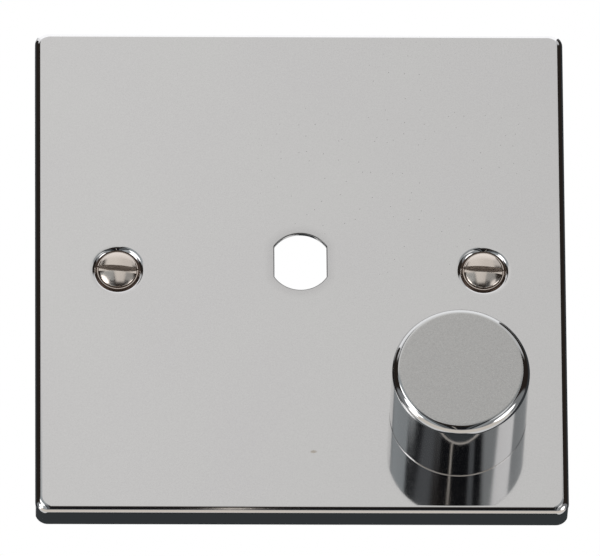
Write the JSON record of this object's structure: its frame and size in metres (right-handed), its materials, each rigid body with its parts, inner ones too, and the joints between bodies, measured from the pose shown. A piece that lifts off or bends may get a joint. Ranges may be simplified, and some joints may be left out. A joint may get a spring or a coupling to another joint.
{
  "type": "dimmer switch plate",
  "caption": "Unfurnished rotary dimmer plate: pressed chrome square with a double-D bush hole, countersunk fixing screws, an earth clamp behind and a loose round knob on its face.",
  "frame": {"origin": "middle of the plate's back rim, between the two fixing screws", "axes": "+X along the screw line, +Y towards the plate's top, +Z out of the plate's face"},
  "size_m": [0.0874, 0.0874, 0.0424],
  "materials": {
    "plate_chrome": "polished chrome plate over pressed steel",
    "screw_nickel": "bright nickel plate, turned",
    "knob_chrome": "chrome plate, finely turned on the top face",
    "insert_plastic": "moulded black plastic",
    "spring_steel": "drawn spring wire",
    "earth_zinc": "bright zinc plate",
    "earth_brass": "turned brass"
  },
  "bodies": {
    "root": {"front_plate": "plate_chrome", "fixing_screw_left": "screw_nickel", "fixing_screw_right": "screw_nickel", "knob_cap": "knob_chrome", "knob_insert": "insert_plastic", "knob_spring": "spring_steel", "earth_bracket": "earth_zinc", "earth_saddle": "earth_zinc", "earth_screw": "earth_brass"}
  },
  "joints": []
}
